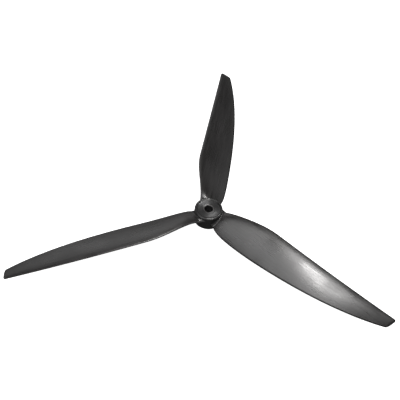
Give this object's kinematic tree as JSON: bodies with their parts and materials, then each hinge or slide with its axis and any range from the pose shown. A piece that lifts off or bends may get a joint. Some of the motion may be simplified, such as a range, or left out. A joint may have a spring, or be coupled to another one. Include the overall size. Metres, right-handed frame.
{
  "type": "propeller",
  "caption": "Three-blade propeller with slim twisted blades on a round hub, and a push-in adapter ring that fits the hub to a motor shaft.",
  "frame": {"origin": "on the shaft axis, in the hub's rear face, which seats on the motor", "axes": "+Z along the shaft towards the front of the hub, which is the way the propeller pulls; +Y along blade_1; the blades are 120 degrees apart, numbered anticlockwise seen from +Z"},
  "size_m": [0.2203, 0.2007, 0.0107],
  "materials": {
    "moulded_nylon": "satin, with fine marks along the blades",
    "ring_plastic": "smooth"
  },
  "bodies": {
    "propeller": {"hub": "moulded_nylon", "blade_1": "moulded_nylon", "blade_2": "moulded_nylon", "blade_3": "moulded_nylon"},
    "ring": {"adapter_ring": "ring_plastic"}
  },
  "joints": [
    {"name": "ring_slide", "type": "slide", "parent": "propeller", "child": "ring", "axis": [0, 0, -1], "range_m": [0, 0.01]}
  ]
}
